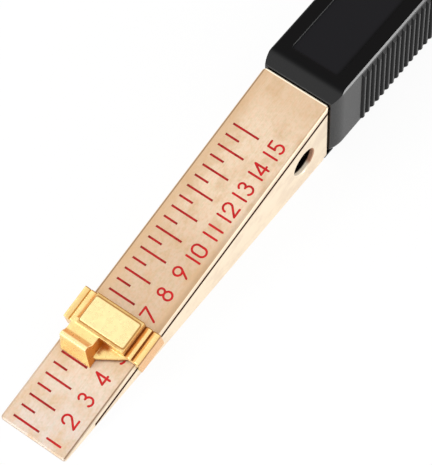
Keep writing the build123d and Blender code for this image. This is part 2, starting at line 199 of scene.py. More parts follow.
class GaugeCursorLook(bpy.types.PropertyGroup):
    """Gold-plated die casting of the cursor."""

    gilt: colour("Gilt", "Colour of the plated casting", 244, 212, 142)
    pale: colour("Pale gilt", "Paler colour of worn and raised places", 248, 225, 168)
    # Painted shade: the deep gilt, corner, notch and groove colours darken hollows, corners, the notch and
    # narrow grooves.
    shade: colour("Deep gilt", "Warmer colour in corners and hollows", 204, 120, 40)
    crease_shade: colour("Crease", "Brown colour right in the corners", 132, 60, 8)
    notch: colour("Notch", "Brown of the shaded notch between tongue and body", 166, 84, 14)
    groove: colour("Groove", "Dark colour at the bottom of narrow grooves", 168, 86, 16)
    # Painted shade: the lower side faces are painted in this rosier shade.
    skirt_shade: colour("Skirt", "Rosier colour of the skirts, where the plating is thin", 243, 190, 140)
    # Painted shade: the orange of the walls beside the panel, of the slopes and of the ridge's back.
    orange: colour("Orange gilt", "Orange of the walls beside the panel and behind the ridge", 236, 150, 66)
    # Painted shadow lines round the panel and at the rear; the line along the near side is brown too.
    outline: colour("Outline", "Brown of the thin lines round panel, side and rear", 158, 98, 28)
    panel_height: length("Panel height", "Height of the raised panel's foot over the scale face", 3.6 * MM)
    panel_rise: length("Panel rise", "Height of the panel's edge, along which the brown line runs", 0.27 * MM)
    rail_top: length("Rail top", "Height of the two shoulders over the scale face", 2.2 * MM)
    groove_height: length("Groove height", "Height up to which the narrow grooves are dark", 1.8 * MM)
    metal: share("Metal", "How metallic the satin plating looks", 0.7)
    sheen: share("Sheen", "Strength of the white reflection that lies over the colour", 0.1)
    roughness: share("Roughness", "Roughness of the plated casting", 0.3)
    worn_radius: length("Worn edge", "Width of the worn, paler edges", 0.22 * MM)
    voxel: length("Cast detail", "Size of the smallest cast detail", 0.1 * MM)
    ripple: length("Ripple", "Height of the unevenness that casting leaves", 0.03 * MM)
    ripple_size: length("Ripple size", "Width of that unevenness", 1.4 * MM)
    skin_depth: length("Skin", "Depth of the casting's fine skin", 0.002 * MM)


class GaugeEnamelLook(bpy.types.PropertyGroup):
    """Red enamel in the engraving."""

    red: colour("Enamel", "Colour of the enamel", 193, 16, 19)
    dark: colour("Deep enamel", "Colour where the enamel lies thick", 136, 10, 8)
    line_depth: share("Line depth", "How thick the enamel lies in the straight marks", 0.42)
    uneven: share("Unevenness", "How much its thickness varies", 0.4)
    end_reach: length("End reach", "How far the darker ends of the straight marks reach", 0.8 * MM)
    roughness: share("Roughness", "Roughness of the enamel", 0.35)
    sheen: share("Sheen", "Strength of the enamel's reflection", 0.25)
    swell: length("Swell", "Height of the enamel's uneven surface", 0.02 * MM)


class GaugeGripLook(bpy.types.PropertyGroup):
    """Black moulded plastic of the grip."""

    black: colour("Black", "Colour of the plastic", 8, 8, 9)
    panel: colour("Panel", "Colour of the finely textured top panel", 23, 23, 26)
    base_roughness: share("Plastic roughness", "Roughness of the plastic under its polish", 0.45)
    sheen: share("Sheen", "Strength of the reflection of the plastic under its polish", 0.06)
    polish_roughness: share("Polish roughness", "Roughness of the polished skin", 0.14)
    polish: share("Polish", "How polished the nose, the edges and the sides are", 0.66)
    rim_polish: share("Rim polish", "How polished the panel's rim is", 0.14)
    top_polish: share("Top polish", "How polished the flat top is", 0.04)
    valley_polish: share("Valley polish", "How polished the plastic is between the ribs", 0.12)
    grip_length: length("Grip length", "Length of the grip behind the shoulder", 52 * MM)
    panel_border: length("Front border", "Width of the smooth border in front of the panel", 5.6 * MM)
    panel_half: length("Panel half width", "Half the width of the panel", 5.5 * MM)
    texture_depth: length("Texture depth", "Depth of the panel's fine texture", 0.004 * MM)


class GaugeSteelLook(bpy.types.PropertyGroup):
    """Plated steel of the screw and tempered steel of the leaf spring."""

    screw: colour("Screw", "Colour of the plated screw", 208, 208, 214)
    screw_roughness: share("Screw roughness", "Roughness of the plated screw", 0.28)
    spring: colour("Spring", "Colour of the leaf spring", 186, 186, 190)
    spring_roughness: share("Spring roughness", "Roughness of the leaf spring", 0.35)
    marks: colour("Marks", "Colour of the fine marks on both", 150, 150, 154)
    mark_depth: length("Mark depth", "Depth of the fine marks", 0.005 * MM)


class GaugeStageLook(bpy.types.PropertyGroup):
    """Floor, lights and camera."""

    floor: colour("Floor", "Colour of the floor", 240, 240, 240)
    floor_size: length("Floor size", "Width of the floor", 6.0)
    floor_glow: share("Floor glow", "How much the floor shines by itself, seen by the camera", 0.93)
    mirrored_glow: share("Mirrored glow", "How much the floor shines by itself, seen in the gauge", 0.64)
    key_place: point("Key place", "Place of the key light", -0.30, 0.36, 0.5)
    key_power: watts("Key light", "Power of the key light", 1.0)
    key_size: length("Key size", "Width of the key light", 0.3)
    edge_place: point("Edge place", "Place of the light on the grip's near edge", 0.287, -0.533, 0.207)
    edge_power: watts("Edge light", "Power of that light", 0.7)
    edge_width: length("Edge light width", "Width of that light", 0.15)
    edge_height: length("Edge light height", "Height of that light", 0.1)
    front_place: point("Front place", "Place of the low light before the cursor", -0.55, 0.1, 0.2)
    front_power: watts("Front light", "Power of that light", 0.62)
    front_size: length("Front light size", "Width of that light", 0.25)
    sky: share("Studio light", "Brightness of the white studio", 1.0)
    card: colour("Warm card", "Colour of the card behind the grip, which the gilt mirrors", 226, 160, 96)
    card_direction: FloatVectorProperty(
        name="Card direction", description="Direction from the gauge to the card",
        default=(0.92, 0.31, 0.24), size=3, subtype="DIRECTION",
    )
    card_inner: angle("Card inner angle", "Angle from its middle within which the card is full", 12)
    card_outer: angle("Card outer angle", "Angle from its middle at which the card has faded out", 30)
    camera_distance: length("Camera distance", "Distance from the camera to its aim", 564.8 * MM)
    camera_azimuth: angle("Camera azimuth", "Direction of the camera round the gauge", -51.2143)
    camera_elevation: angle("Camera elevation", "Height of the camera above the horizon", 60.3509)
    camera_roll: angle("Camera roll", "Turn of the camera about its own axis", -2.0036)
    camera_aim: point("Camera aim", "Point at the middle of the picture", -15.35 * MM, -3.53 * MM, 8.0 * MM)
    lens: FloatProperty(
        name="Lens", description="Focal length in millimetres on a 36 mm frame",
        default=229.94, min=1.0, unit="CAMERA",
    )


# Node helpers


def plug(tree, value, socket):
    """Gives a socket a fixed value, or wires another node's output to it."""
    if isinstance(value, bpy.types.NodeSocket):
        tree.links.new(value, socket)
    elif hasattr(value, "__len__") and socket.type == "RGBA" and len(value) == 3:
        socket.default_value = (*value, 1.0)
    else:
        socket.default_value = value


def named_socket(sockets, identifier):
    """Socket with a given identifier."""
    return next(socket for socket in sockets if socket.identifier == identifier)


def mix_colours(tree, factor, first, second, blend="MIX"):
    """Mix of two colours."""
    node = tree.nodes.new("ShaderNodeMix")
    node.data_type = "RGBA"
    node.blend_type = blend
    plug(tree, factor, named_socket(node.inputs, "Factor_Float"))
    plug(tree, first, named_socket(node.inputs, "A_Color"))
    plug(tree, second, named_socket(node.inputs, "B_Color"))
    return named_socket(node.outputs, "Result_Color")


def arithmetic(tree, operation, first, second=0.0):
    """Result of one operation on one or two numbers."""
    node = tree.nodes.new("ShaderNodeMath")
    node.operation = operation
    plug(tree, first, node.inputs[0])
    plug(tree, second, node.inputs[1])
    return node.outputs[0]


def product(tree, *factors):
    """Product of several numbers."""
    result = factors[0]
    for factor in factors[1:]:
        result = arithmetic(tree, "MULTIPLY", result, factor)
    return result


def strongest(tree, *masks):
    """Highest of several masks at each point."""
    result = masks[0]
    for mask in masks[1:]:
        result = arithmetic(tree, "MAXIMUM", result, mask)
    return result


def opposite(tree, mask):
    """What a mask leaves of 1."""
    return arithmetic(tree, "SUBTRACT", 1.0, mask)


def ramp(tree, value, low, high, to_low=0.0, to_high=1.0):
    """Smooth step of a value from one range to another."""
    node = tree.nodes.new("ShaderNodeMapRange")
    node.interpolation_type = "SMOOTHSTEP"
    plug(tree, value, node.inputs["Value"])
    plug(tree, low, node.inputs["From Min"])
    plug(tree, high, node.inputs["From Max"])
    plug(tree, to_low, node.inputs["To Min"])
    plug(tree, to_high, node.inputs["To Max"])
    return node.outputs["Result"]


def fall(tree, value, low, high):
    """Mask that drops smoothly from 1 to 0 between two values."""
    return ramp(tree, value, low, high, 1.0, 0.0)


def band(tree, value, low, high, fade):
    """Mask that is 1 between two values and fades out over a length at both ends."""
    rise = ramp(tree, value, low - fade / 2, low + fade / 2)
    return product(tree, rise, fall(tree, value, high - fade / 2, high + fade / 2))


def layered(tree, base, layers):
    """A colour with layers over it in turn, each a mask, its strength, a tint and perhaps a blend."""
    for mask, strength, tint, *blend in layers:
        base = mix_colours(tree, product(tree, mask, strength), base, tint, *blend)
    return base


def components(tree, vector):
    """The three components of a vector."""
    node = tree.nodes.new("ShaderNodeSeparateXYZ")
    plug(tree, vector, node.inputs[0])
    return node.outputs


def turned(tree, place, slope):
    """Place turned about the cross axis, so that its x runs up a slope of that angle."""
    node = tree.nodes.new("ShaderNodeMapping")
    plug(tree, place, node.inputs["Vector"])
    plug(tree, (0.0, slope, 0.0), node.inputs["Rotation"])
    return node.outputs["Vector"]


def spot_on(tree, place):
    """Where a point lies: x, y and z, across from the middle, and along and over the scale face."""
    parts = components(tree, place)
    level = turned(tree, place, taper)
    sloped = components(tree, level)
    return SimpleNamespace(
        x=parts["X"], y=parts["Y"], z=parts["Z"], across=arithmetic(tree, "ABSOLUTE", parts["Y"]),
        level=level, along=sloped["X"], above=arithmetic(tree, "SUBTRACT", sloped["Z"], face_level),
        below=arithmetic(tree, "SUBTRACT", face_level, sloped["Z"]),
    )


def facing_parts(tree):
    """The three components of the direction that the surface faces."""
    return components(tree, tree.nodes.new("ShaderNodeTexCoord").outputs["Normal"])


def relief(tree, height, depth):
    """Normal of a surface raised by a height of 0 to 1 times a depth in metres."""
    node = tree.nodes.new("ShaderNodeBump")
    plug(tree, depth, node.inputs["Distance"])
    plug(tree, height, node.inputs["Height"])
    return node.outputs["Normal"]


def start_group(name, inputs, output):
    """New shader node group with named inputs and one named output of 0 to 1."""
    tree = bpy.data.node_groups.new(name, "ShaderNodeTree")
    for label, kind in inputs:
        tree.interface.new_socket(name=label, in_out="INPUT", socket_type=kind)
    tree.interface.new_socket(name=output, in_out="OUTPUT", socket_type="NodeSocketFloat")
    return tree, tree.nodes.new("NodeGroupInput").outputs, tree.nodes.new("NodeGroupOutput").inputs


def place_group(tree, name, **values):
    """A node group placed in a material, with its own values; gives its first output."""
    node = tree.nodes.new("ShaderNodeGroup")
    node.node_tree = bpy.data.node_groups[name]
    for label, value in values.items():
        plug(tree, value, node.inputs[label.replace("_", " ").capitalize()])
    return node.outputs[0]


def build_grain_group():
    """Noise that can be stretched along an axis, for grinding marks, clouds and cast skin."""
    inputs = (
        ("Place", "NodeSocketVector"), ("Cells per metre", "NodeSocketVector"),
        ("Detail", "NodeSocketFloat"), ("Low", "NodeSocketFloat"), ("High", "NodeSocketFloat"),
    )
    tree, given, result = start_group("grain", inputs, "Mask")
    stretch = tree.nodes.new("ShaderNodeVectorMath")
    stretch.operation = "MULTIPLY"
    plug(tree, given["Place"], stretch.inputs[0])
    plug(tree, given["Cells per metre"], stretch.inputs[1])
    noise = tree.nodes.new("ShaderNodeTexNoise")
    plug(tree, stretch.outputs[0], noise.inputs["Vector"])
    plug(tree, 1.0, noise.inputs["Scale"])
    plug(tree, given["Detail"], noise.inputs["Detail"])
    plug(tree, ramp(tree, noise.outputs["Fac"], given["Low"], given["High"]), result["Mask"])


def build_crevice_group():
    """Mask that is 1 where a piece's own walls stand close together, as in a groove."""
    inputs = (("Reach", "NodeSocketFloat"), ("Low", "NodeSocketFloat"), ("High", "NodeSocketFloat"))
    tree, given, result = start_group("crevice", inputs, "Mask")
    openness = tree.nodes.new("ShaderNodeAmbientOcclusion")
    openness.only_local = True
    openness.samples = 12
    plug(tree, given["Reach"], openness.inputs["Distance"])
    closed = opposite(tree, openness.outputs["AO"])
    plug(tree, ramp(tree, closed, given["Low"], given["High"]), result["Mask"])


def build_edge_group():
    """Mask that is 1 along edges, where handling polishes them."""
    tree, given, result = start_group("worn_edge", (("Radius", "NodeSocketFloat"),), "Mask")
    full_bend = 0.2
    bevel = tree.nodes.new("ShaderNodeBevel")
    bevel.samples = 8
    plug(tree, given["Radius"], bevel.inputs["Radius"])
    agreement = tree.nodes.new("ShaderNodeVectorMath")
    agreement.operation = "DOT_PRODUCT"
    plug(tree, bevel.outputs["Normal"], agreement.inputs[0])
    plug(tree, tree.nodes.new("ShaderNodeNewGeometry").outputs["Normal"], agreement.inputs[1])
    bend = opposite(tree, agreement.outputs["Value"])
    plug(tree, ramp(tree, bend, 0.0, full_bend), result["Mask"])


def start_material(name):
    """New material: its tree, its shader and the place on the piece."""
    material = bpy.data.materials.new(name)
    material.use_nodes = True
    tree = material.node_tree
    place = tree.nodes.new("ShaderNodeTexCoord").outputs["Object"]
    return material, tree, tree.nodes["Principled BSDF"], place


def finish_shader(tree, shader, tint, grain, roughness, depth):
    """Sets a shader's colour, its roughness at the grain's low and high places, and their relief."""
    plug(tree, tint, shader.inputs["Base Color"])
    plug(tree, ramp(tree, grain, 0.0, 1.0, *roughness), shader.inputs["Roughness"])
    plug(tree, relief(tree, grain, depth), shader.inputs["Normal"])


# Brass of the blade. Its places are measured from the thin end, the shoulder, the side faces and the
# scale face. Here and below, a pair of values is the range over which a mask comes or goes.


def brass_material(look):
    """Ground brass: marks along the blade, clouds and spots; painted light on the sides and the cross hole's
    mouth, painted shade in the brown edge lines, the grooves and the cross hole, and a painted highlight by
    the grip.
    """
    material, tree, shader, place = start_material("ground_brass")
    spot = spot_on(tree, place)
    streaks = place_group(
        tree, "grain", place=spot.level, cells_per_metre=(90, 6500, 6500), detail=3.0, low=0.3, high=0.7)
    clouds = place_group(
        tree, "grain", place=spot.level, cells_per_metre=(220, 320, 320), detail=4.0, low=0.42, high=0.7)
    spots = place_group(
        tree, "grain", place=spot.level, cells_per_metre=(1200, 1500, 1500), detail=2.0, low=0.42, high=0.68)
    specks = place_group(
        tree, "grain", place=spot.level, cells_per_metre=(1900, 2300, 2300), detail=3.0, low=0.42, high=0.68)
    near_tip = fall(tree, spot.x, blade_low.x, blade_low.x + look.tip_reach)
    handled = band(
        tree, spot.x, blade_low.x + look.handled_start, blade_low.x + look.handled_end,
        look.handled_fade)
    # Painted light: paler colour on the side faces.
    lit_side = product(tree, ramp(tree, spot.across, *SIDE_FACE), ramp(tree, spot.below, *TOP_EDGE))
    lit_side_colour = mix_colours(tree, product(tree, clouds, 0.5), look.side, look.face)
    # Painted light and shade in the cross hole.
    bore_shading, inside, gripward = bore_shading_masks(tree, look, spot)
    bore_colour = mix_colours(tree, gripward, look.bore_lit_mouth, look.bore_half_shade)
    bore_colour = mix_colours(tree, inside, bore_colour, look.bore_shading)
    # Pale edges: worn on the numerals' side, a painted highlight by the grip.
    polished = worn_and_highlit_edges(tree, spot)
    # Painted shade in the side grooves and between close walls.
    groove_shade = painted_groove_shade(tree, look, spot)
    tint = layered(tree, look.face, (
        (near_tip, 1.0, look.tip),
        (handled, 0.9, look.handled),
        (clouds, 0.6, look.tarnish),
        (spots, 1.0, look.blush, "MULTIPLY"),
        (specks, 1.0, look.grey, "MULTIPLY"),
        (margin_tone(tree, spot, near_tip, handled), 1.0, look.margin),
        (streaks, 0.3, look.tarnish),
        (lit_side, 1.0, lit_side_colour),
        # Painted shade: brown lines along the long edges, with a faint stain.
        (edge_shade_and_stain(tree, look, spot), 1.0, look.edge),
        (bore_shading, 1.0, bore_colour),
        (polished, 1.0, look.polished),
        (groove_shade, 1.0, look.groove_shade),
    ))
    roughness = (look.roughness - 0.04, look.roughness + 0.06)
    finish_shader(tree, shader, tint, streaks, roughness, look.streak_depth)
    # Painted shade in the grooves, painted light and shade in the cross hole and, by half, the pale edges are
    # made less metallic.
    less_metallic = strongest(tree, groove_shade, bore_shading, product(tree, polished, 0.5))
    plug(tree, product(tree, opposite(tree, less_metallic), look.metal), shader.inputs["Metallic"])
    shader.inputs["Specular IOR Level"].default_value = look.sheen
    return material


def margin_tone(tree, spot, near_tip, handled):
    """Mask of the golden tone along the long edges, the near one only where it is handled."""
    far_edge, far_strength = (3.0 * MM, 7.4 * MM), 0.75
    near_edge, near_strength = (-7.4 * MM, -4.5 * MM), 0.7
    by_grip, grip_strength = (shoulder_x - 11 * MM, shoulder_x - 3 * MM), 0.45
    far = product(tree, ramp(tree, spot.y, *far_edge), opposite(tree, near_tip), far_strength)
    near = product(tree, fall(tree, spot.y, *near_edge), handled, near_strength)
    return strongest(tree, far, near, ramp(tree, spot.x, *by_grip, 0.0, grip_strength))


def worn_and_highlit_edges(tree, spot):
    """Mask of the pale edges: the worn top edge on the numerals' side, and a painted highlight along the end
    by the grip.
    """
    worn_start, edge_strength = (blade_low.x + 11 * MM, blade_low.x + 24 * MM), 0.8
    face_end = (0.06 * MM, 0.14 * MM)
    grip_end = (shoulder_x - 0.5 * MM, shoulder_x - 0.36 * MM)
    near_edge = product(
        tree, ramp(tree, spot.y, *MIDDLE, edge_strength, 0.0), ramp(tree, spot.x, *worn_start),
        ramp(tree, spot.below, *face_end))
    worn = strongest(tree, near_edge, ramp(tree, spot.x, *grip_end))
    return product(tree, worn, fall(tree, spot.below, *TOP_EDGE))


def bore_shading_masks(tree, look, spot):
    """Masks of the cross hole's wall, where light and shade are painted, of its painted dark inside and of
    its half-shaded side towards the grip.
    """
    rim = (hole_radius + 0.3 * MM, hole_radius + 0.4 * MM)
    dark_start = blade_high.y - look.lit_mouth_depth
    grip_side = (1.2 * MM, 2.2 * MM)
    aside = arithmetic(tree, "SUBTRACT", spot.x, hole_place.x)
    over = arithmetic(tree, "SUBTRACT", spot.z, hole_place.z)
    distance = arithmetic(
        tree, "SQRT", arithmetic(tree, "ADD", product(tree, aside, aside), product(tree, over, over)))
    wall = product(tree, fall(tree, distance, *rim), fall(tree, spot.across, *SIDE_FACE))
    inside = fall(tree, spot.across, dark_start - look.lit_mouth_fade, dark_start)
    return wall, product(tree, wall, inside), ramp(tree, aside, *grip_side)


def painted_groove_shade(tree, look, spot):
    """Mask of the painted shade in the side grooves and wherever walls stand close together."""
    groove_floor = (blade_high.y - 1.2 * MM, blade_high.y - 1.1 * MM)
    groove_height, height_fade = (1.3 * MM, 2.3 * MM), 0.06 * MM
    groove_end = (blade_low.x + look.groove_start, blade_low.x + look.groove_start + 0.2 * MM)
    close = place_group(tree, "crevice", reach=look.groove_shade_reach, low=0.35, high=0.6)
    groove = product(
        tree, ramp(tree, spot.across, *groove_floor), band(tree, spot.below, *groove_height, height_fade),
        ramp(tree, spot.x, *groove_end))
    return strongest(tree, close, groove)


def edge_shade_and_stain(tree, look, spot):
    """Mask of the brown line of painted shade along the long edges, strongest by the thin end on the
    numerals' side, with a faint stain beside it there.
    """
    side, tip = blade_high.y, blade_low.x
    line_width, line_fade = (side - 0.44 * MM, side - 0.14 * MM), 0.12 * MM
    stain_width = (side - 1.5 * MM, side - 0.5 * MM)
    stain_reach, stain_fade, stain_strength = (tip + 22 * MM, tip + 64 * MM), 12 * MM, 0.24
    far_reach, far_strengths = (tip + 6 * MM, tip + 30 * MM), (0.2, 0.75)
    near_reach, near_strengths = (tip + look.near_line, tip + 2 * look.near_line), (0.85, 0.25)
    face_end = (0.05 * MM, 0.12 * MM)
    on_face = fall(tree, spot.below, *face_end)
    line = product(tree, on_face, band(tree, spot.across, *line_width, line_fade))
    stain = product(tree, on_face, ramp(tree, spot.across, *stain_width))
    far = product(
        tree, line, ramp(tree, spot.y, *MIDDLE), ramp(tree, spot.x, *far_reach, *far_strengths))
    near = product(tree, fall(tree, spot.y, *MIDDLE), strongest(
        tree, product(tree, line, ramp(tree, spot.x, *near_reach, *near_strengths)),
        product(tree, stain, band(tree, spot.x, *stain_reach, stain_fade), stain_strength)))
    return strongest(tree, far, near)


# Enamel of the scale


def enamel_material(look, node, deep):
    """Red enamel of one kind of mark, darker where it lies thick and at the ends of straight marks."""
    material, tree, shader, place = start_material(f"red_enamel_{node}")
    low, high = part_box(node)
    half_reach = look.end_reach / 2
    y = components(tree, place)["Y"]
    thick = place_group(
        tree, "grain", place=place, cells_per_metre=(900, 700, 900), detail=3.0, low=0.4, high=0.65)
    ends = opposite(tree, band(tree, y, low.y + half_reach, high.y - half_reach, look.end_reach))
    depth = arithmetic(tree, "ADD", product(tree, thick, look.uneven), deep)
    depth = arithmetic(tree, "ADD", depth, product(tree, ends, deep))
    depth = arithmetic(tree, "MINIMUM", depth, 1.0)
    tint = mix_colours(tree, depth, look.red, look.dark)
    roughness = (look.roughness + 0.08, look.roughness - 0.05)
    finish_shader(tree, shader, tint, thick, roughness, look.swell)
    shader.inputs["Specular IOR Level"].default_value = look.sheen
    return material


# Gilt of the cursor. Its places are measured from the cursor's front and over the scale face.


def gilt_material(look):
    """Gold-plated casting: uneven skin, with painted shade as deeper colour in hollows, dark narrow grooves,
    shaded lower sides, walls and slopes, and thin shadow lines.
    """
    material, tree, shader, place = start_material("gilt_casting")
    spot = spot_on(tree, place)
    facing = facing_parts(tree)
    skin = place_group(
        tree, "grain", place=place, cells_per_metre=(1100, 1100, 1100), detail=3.0, low=0.3, high=0.7)
    patches = place_group(
        tree, "grain", place=place, cells_per_metre=(420, 420, 420), detail=3.0, low=0.35, high=0.7)
    worn = place_group(tree, "worn_edge", radius=look.worn_radius)
    shaded_skirts, raised, steep = broad_zones(tree, look, spot, facing)
    hollow_shade, crease_shade, deep = hollow_zones(tree, look, spot)
    flank_shade, ridge_back_shade, notch, web_foot_shade = tongue_zones(tree, spot, facing, steep)
    wall, slope, panel_shadow_line, outer_lines = body_zones(tree, look, spot, facing, steep)
    tint = layered(tree, look.gilt, (
        (patches, 0.3, look.pale),
        # Painted shade on the lower side faces.
        (shaded_skirts, 0.85, look.skirt_shade),
        (raised, 0.75, look.pale),
        (worn, 0.7, look.pale),
        # Painted shade from here on, in hollows, on the tongue, at the web's foot, on walls and slopes, in
        # shadow lines round the panel and at the rear, in corners and grooves; the near side line is brown
        # too.
        (hollow_shade, 1.0, look.shade),
        (flank_shade, 0.9, look.shade),
        (notch, 1.0, look.notch),
        (web_foot_shade, 1.0, look.crease_shade),
        (ridge_back_shade, 0.5, look.orange),
        (wall, 0.35, look.orange),
        (slope, 0.5, look.orange),
        (outer_lines, 0.85, look.outline),
        (panel_shadow_line, 0.85, look.outline),
        (crease_shade, 0.85, look.crease_shade),
        (deep, 1.0, look.groove),
    ))
    roughness = (look.roughness - 0.05, look.roughness + 0.08)
    finish_shader(tree, shader, tint, skin, roughness, look.skin_depth)
    # Painted shade in grooves, on walls, in the notch, at the web's foot and on the panel's shadow line is
    # made less metallic.
    dull = strongest(
        tree, product(tree, deep, 0.6), product(tree, wall, 0.25), product(tree, panel_shadow_line, 0.85),
        notch, web_foot_shade)
    plug(tree, product(tree, opposite(tree, dull), look.metal), shader.inputs["Metallic"])
    shader.inputs["Specular IOR Level"].default_value = look.sheen
    return material


def broad_zones(tree, look, spot, facing):
    """Masks of the lower side faces, painted in shade, of the raised panel and of faces that look sideways.
    """
    skirt_side = (blade_high.y + 0.9 * MM, blade_high.y + 1.0 * MM)
    skirt_top = (1.7 * MM, 2.1 * MM)
    sideways = (0.6, 0.9)
    shaded_skirts = product(tree, ramp(tree, spot.across, *skirt_side), fall(tree, spot.above, *skirt_top))
    raised = ramp(tree, spot.above, look.panel_height, look.panel_height + look.panel_rise)
    steep = ramp(tree, arithmetic(tree, "ABSOLUTE", facing["Y"]), *sideways)
    return shaded_skirts, raised, steep


def hollow_zones(tree, look, spot):
    """Masks of painted shade in broad hollows, in corners and in deep grooves, the last two weaker on the
    left.
    """
    groove_foot, groove_fade = 0.5 * MM, 0.3 * MM
    left_strength, hollow_strength, left_hollow_strength = 0.15, 0.62, 0.16
    weaker_left = ramp(tree, spot.y, *MIDDLE, 1.0, left_strength)
    hollow_shade = product(
        tree, place_group(tree, "crevice", reach=2.0 * MM, low=0.24, high=0.62),
        ramp(tree, spot.y, *LEFT_GROOVE, hollow_strength, left_hollow_strength))
    corner = place_group(tree, "crevice", reach=0.4 * MM, low=0.1, high=0.34)
    deep = product(
        tree, band(tree, spot.above, groove_foot, look.groove_height, groove_fade), weaker_left,
        place_group(tree, "crevice", reach=0.4 * MM, low=0.3, high=0.55))
    return hollow_shade, product(tree, corner, weaker_left), deep


def tongue_zones(tree, spot, facing, steep):
    """Masks of painted shade on the tongue's side, on its ridge's back and in the notch beside it, and of a
    painted shadow at the web's foot.
    """
    front = cursor_low.x
    flank_end = (front + 3.4 * MM, front + 4.4 * MM)
    backward = (0.25, 0.5)
    ridge_height, ridge_end = (3.45 * MM, 4.1 * MM), (front + 3.6 * MM, front + 4.0 * MM)
    notch_height, height_fade = (1.15 * MM, 3.4 * MM), 0.2 * MM
    notch_reach, reach_fade = (front + 2.6 * MM, front + 6 * MM), 0.4 * MM
    notch_width, width_fade = (-2.2 * MM, 2.0 * MM), 1.2 * MM
    foot_top, foot_side = (0.5 * MM, 0.75 * MM), (blade_high.y - 0.2 * MM, blade_high.y)
    foot_start, foot_end = (front + 1.3 * MM, front + 1.8 * MM), (front + 5.6 * MM, front + 6 * MM)
    flank_shade = product(tree, steep, fall(tree, spot.x, *flank_end))
    ridge_back_shade = product(
        tree, ramp(tree, facing["X"], *backward), ramp(tree, spot.above, *ridge_height),
        fall(tree, spot.x, *ridge_end))
    notch = product(
        tree, place_group(tree, "crevice", reach=1.6 * MM, low=0.02, high=0.26),
        band(tree, spot.above, *notch_height, height_fade), band(tree, spot.x, *notch_reach, reach_fade),
        band(tree, spot.y, *notch_width, width_fade))
    web_foot_shade = product(
        tree, fall(tree, spot.above, *foot_top), ramp(tree, spot.x, *foot_start),
        fall(tree, spot.across, *foot_side), fall(tree, spot.x, *foot_end))
    return flank_shade, ridge_back_shade, notch, web_foot_shade


def body_zones(tree, look, spot, facing, steep):
    """Masks of painted shade on the body's walls and slopes, of the painted shadow line round its panel, and
    of a brown line along its near side with the painted shadow line at its rear.
    """
    rail, panel = look.rail_top, look.panel_height
    body_start = (cursor_start + 4.9 * MM, cursor_start + 5.2 * MM)
    wall_height, wall_fade = (2.1 * MM, panel), 0.3 * MM
    slanting, slant_fade = (0.22, 0.6), 0.1
    slope_foot, slope_top = (rail - 0.4 * MM, rail - 0.34 * MM), (rail, rail + 0.1 * MM)
    slope_height, top_strength = (rail - 0.3 * MM, rail), 0.3
    left_strength = 0.15
    line_height, line_fade = (panel, panel + look.panel_rise), 0.06 * MM
    side_line_place = (cursor_low.y + 0.1 * MM, cursor_low.y + 0.2 * MM)
    side_line_height, side_line_fade = (rail - 0.8 * MM, rail - 0.15 * MM), 0.1 * MM
    rear_end, rear_height = (cursor_end - 0.24 * MM, cursor_end - 0.14 * MM), (1.4 * MM, 1.6 * MM)
    body = ramp(tree, spot.along, *body_start)
    wall = product(tree, steep, body, band(tree, spot.above, *wall_height, wall_fade))
    slope = product(
        tree, body, band(tree, arithmetic(tree, "ABSOLUTE", facing["Y"]), *slanting, slant_fade),
        ramp(tree, spot.above, *slope_foot), ramp(tree, spot.above, *slope_height, 1.0, top_strength),
        fall(tree, spot.above, *slope_top), ramp(tree, spot.y, *LEFT_GROOVE, 1.0, left_strength))
    # Painted shadow line along the panel's edge.
    panel_shadow_line = product(tree, body, band(tree, spot.above, *line_height, line_fade))
    side_line = product(
        tree, fall(tree, spot.y, *side_line_place), band(tree, spot.above, *side_line_height, side_line_fade))
    # Painted shadow line along the rear edge.
    rear = product(tree, ramp(tree, spot.along, *rear_end), ramp(tree, spot.above, *rear_height))
    return wall, slope, panel_shadow_line, strongest(tree, side_line, rear)


# Plastic of the grip and steel of the fasteners


def plastic_material(look):
    """Black plastic: polished nose, edges and sides, and a dull flat top with a textured panel."""
    material, tree, shader, place = start_material("black_plastic")
    parts = components(tree, place)
    mouth = grip_high.x - look.grip_length
    front, half = mouth + look.panel_border, look.panel_half
    top_height = (grip_high.z - 2.5 * MM, grip_high.z - 2.0 * MM)
    front_edge = (front - 0.5 * MM, front + 0.6 * MM)
    near_edge, far_edge = (-half - 0.1 * MM, -half + 0.9 * MM), (half - 0.04 * MM, half + 0.04 * MM)
    border_grain = 0.12
    top = ramp(tree, parts["Z"], *top_height)
    behind = ramp(tree, parts["X"], *front_edge)
    panel = product(
        tree, top, behind, ramp(tree, parts["Y"], *near_edge), fall(tree, parts["Y"], *far_edge))
    texture = place_group(
        tree, "grain", place=place, cells_per_metre=(9000, 9000, 9000), detail=2.0, low=0.3, high=0.7)
    plug(tree, mix_colours(tree, panel, look.black, look.panel), shader.inputs["Base Color"])
    rough = ramp(tree, texture, 0.0, 1.0, look.base_roughness, look.base_roughness + 0.06)
    plug(tree, rough, shader.inputs["Roughness"])
    dulled = dulled_plastic(tree, look, parts, mouth, top, behind)
    plug(tree, product(tree, opposite(tree, dulled), look.polish), shader.inputs["Coat Weight"])
    shader.inputs["Coat Roughness"].default_value = look.polish_roughness
    shader.inputs["Specular IOR Level"].default_value = look.sheen
    grained = ramp(tree, panel, 0.0, 1.0, border_grain, 1.0)
    plug(tree, relief(tree, product(tree, texture, grained), look.texture_depth), shader.inputs["Normal"])
    return material


